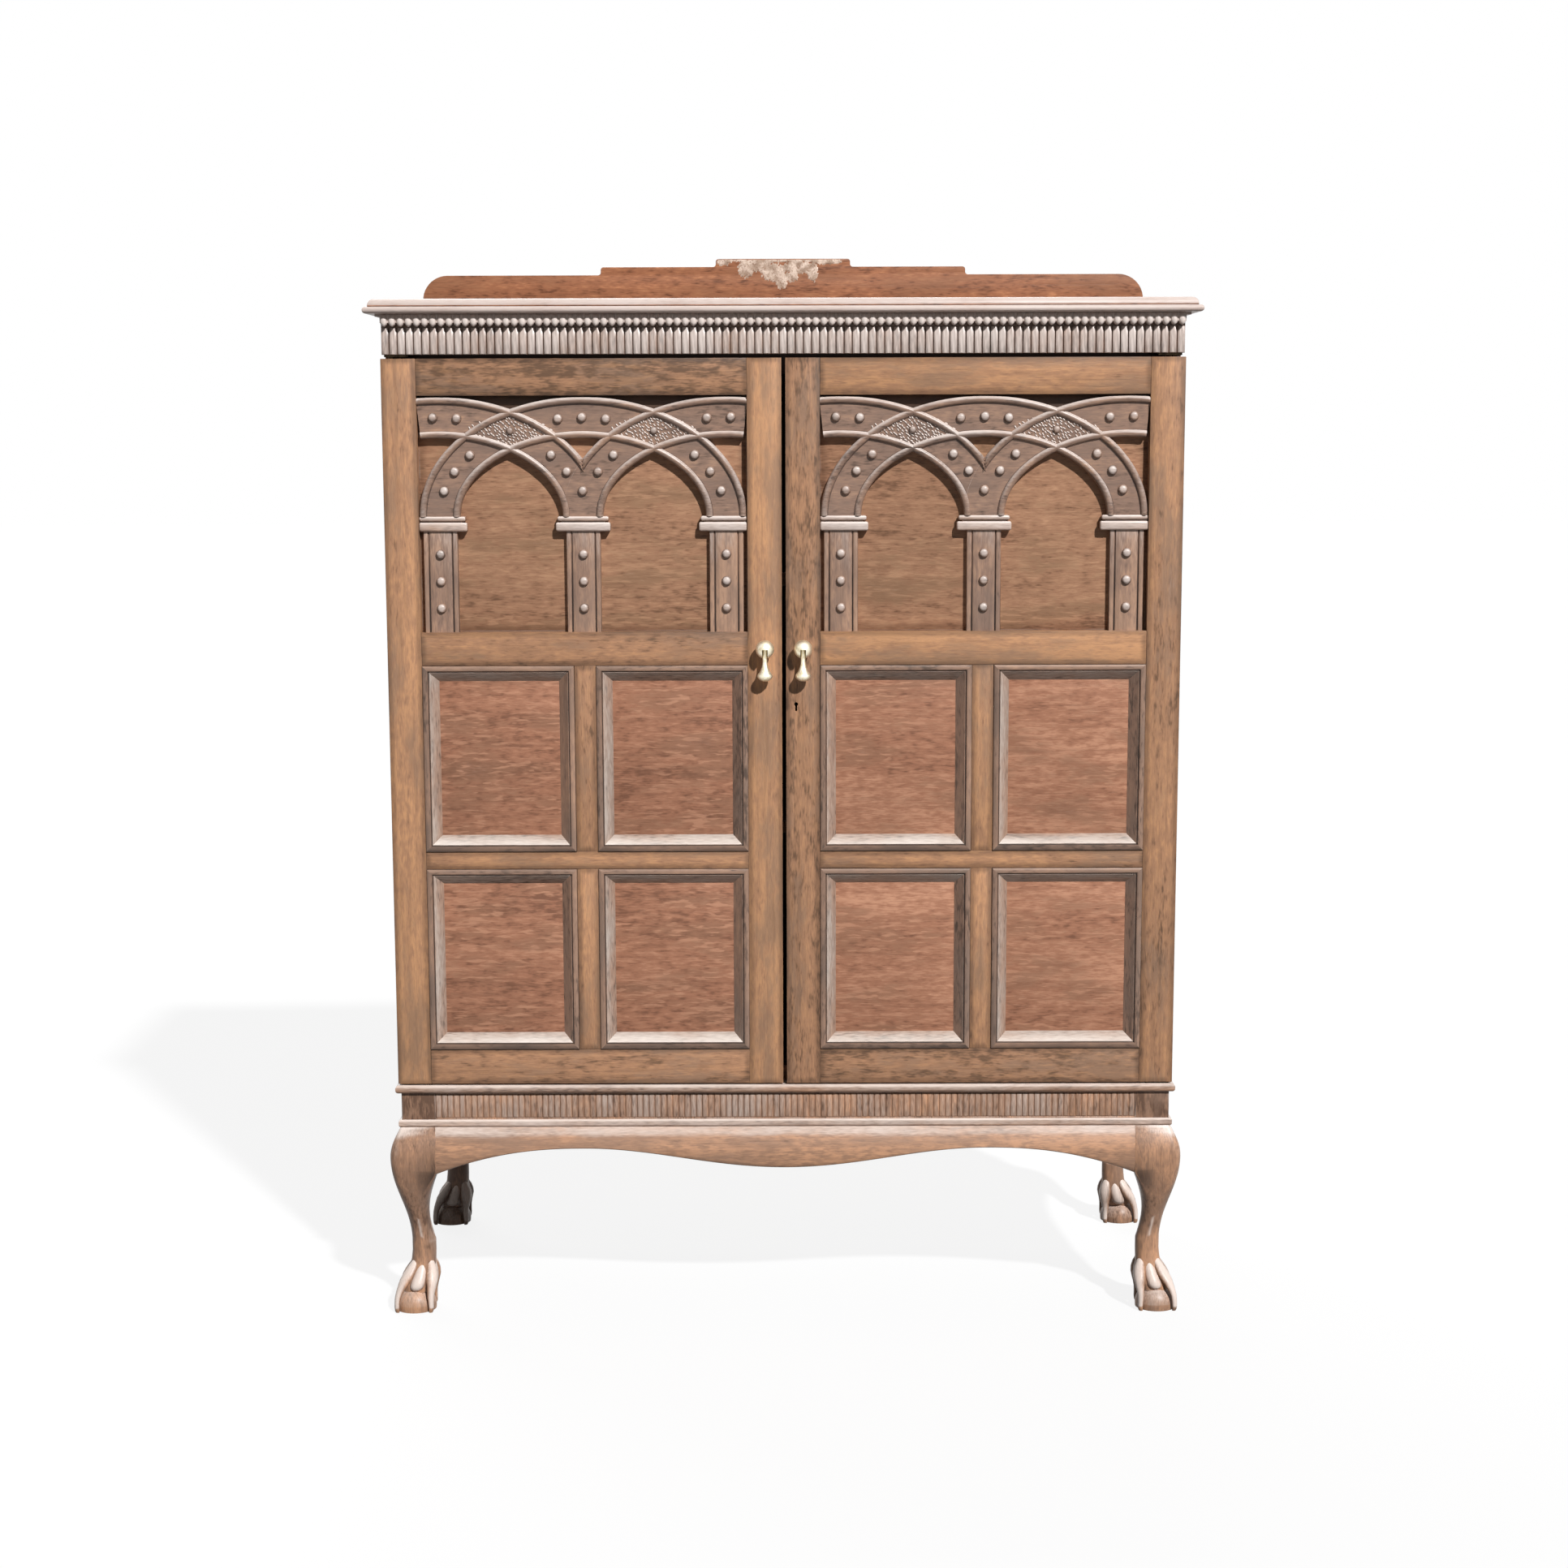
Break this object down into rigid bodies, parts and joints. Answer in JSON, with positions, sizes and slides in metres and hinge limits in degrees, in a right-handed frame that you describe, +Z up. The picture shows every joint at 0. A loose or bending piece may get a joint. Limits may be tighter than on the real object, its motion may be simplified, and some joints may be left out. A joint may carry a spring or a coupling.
{
  "type": "wine cabinet",
  "caption": "Free-standing carved wooden wine cabinet: panelled hinged doors with interlaced arches, reeded friezes, stepped gallery, brass drop pulls, cabriole legs with claw feet.",
  "frame": {"origin": "on the floor, in the middle of the object's outer box", "axes": "+X to the right seen from the front, +Y from the doors towards the back, +Z up"},
  "size_m": [1.058, 0.479, 1.399],
  "materials": {
    "case_wood": "worn satin varnish",
    "door_wood": "worn satin varnish",
    "panel_wood": "worn satin varnish",
    "carved_wood": "worn satin varnish",
    "base_wood": "worn satin varnish",
    "brass": "polished, a little worn",
    "steel": "dull"
  },
  "bodies": {
    "cabinet": {"left_side": "case_wood", "right_side": "case_wood", "back_panel": "panel_wood", "carcass_bottom": "case_wood", "carcass_top": "case_wood", "front_top_rail": "case_wood", "lower_shelf": "case_wood", "upper_shelf": "case_wood", "shelf_cleats": "case_wood", "frieze_front": "carved_wood", "frieze_strip": "carved_wood", "top_board": "case_wood", "gallery": "case_wood", "base_top_moulding": "base_wood", "waist_moulding": "base_wood", "base_front_rail": "base_wood", "base_side_rails": "base_wood", "base_back_rail": "base_wood", "apron_front": "base_wood", "apron_sides": "base_wood", "front_left_leg": "base_wood", "front_right_leg": "base_wood", "back_left_leg": "base_wood", "back_right_leg": "base_wood", "pivot_sockets": "brass"},
    "left_door": {"left_hinge_stile": "door_wood", "left_meeting_stile": "door_wood", "left_top_rail": "door_wood", "left_lock_rail": "door_wood", "left_bottom_rail": "door_wood", "left_panel_dividers": "door_wood", "left_flat_panels": "panel_wood", "left_panel_mouldings": "door_wood", "left_arcade_panel": "panel_wood", "left_arcade_arches": "carved_wood", "left_arcade_pilasters": "carved_wood", "left_arcade_studs": "carved_wood", "left_pivot_pins": "brass", "left_pull_boss": "brass", "left_bolt_case": "brass"},
    "right_door": {"right_hinge_stile": "door_wood", "right_meeting_stile": "door_wood", "right_top_rail": "door_wood", "right_lock_rail": "door_wood", "right_bottom_rail": "door_wood", "right_panel_dividers": "door_wood", "right_flat_panels": "panel_wood", "right_panel_mouldings": "door_wood", "right_arcade_panel": "panel_wood", "right_arcade_arches": "carved_wood", "right_arcade_pilasters": "carved_wood", "right_arcade_studs": "carved_wood", "right_pivot_pins": "brass", "right_pull_boss": "brass", "lock_case": "brass"},
    "left_pull": {"left_pull_drop": "brass"},
    "right_pull": {"right_pull_drop": "brass"},
    "lock_bolt": {"lock_bolt": "steel"},
    "cupboard_bolt": {"cupboard_bolt": "brass"}
  },
  "joints": [
    {"name": "left_door_hinge", "type": "hinge", "parent": "cabinet", "child": "left_door", "pos_m": [-0.4975, -0.2, 0.311], "axis": [0, 0, -1], "range_deg": [0, 95]},
    {"name": "right_door_hinge", "type": "hinge", "parent": "cabinet", "child": "right_door", "pos_m": [0.4975, -0.2, 0.311], "axis": [0, 0, 1], "range_deg": [0, 95]},
    {"name": "left_pull_swing", "type": "hinge", "parent": "left_door", "child": "left_pull", "pos_m": [-0.0245, -0.2275, 0.884], "axis": [-1, 0, 0], "range_deg": [0, 60]},
    {"name": "right_pull_swing", "type": "hinge", "parent": "right_door", "child": "right_pull", "pos_m": [0.0245, -0.2275, 0.884], "axis": [-1, 0, 0], "range_deg": [0, 60]},
    {"name": "lock_bolt_slide", "type": "slide", "parent": "right_door", "child": "lock_bolt", "axis": [-1, 0, 0], "range_m": [0, 0.011]},
    {"name": "cupboard_bolt_slide", "type": "slide", "parent": "left_door", "child": "cupboard_bolt", "axis": [0, 0, 1], "range_m": [0, 0.012]}
  ]
}
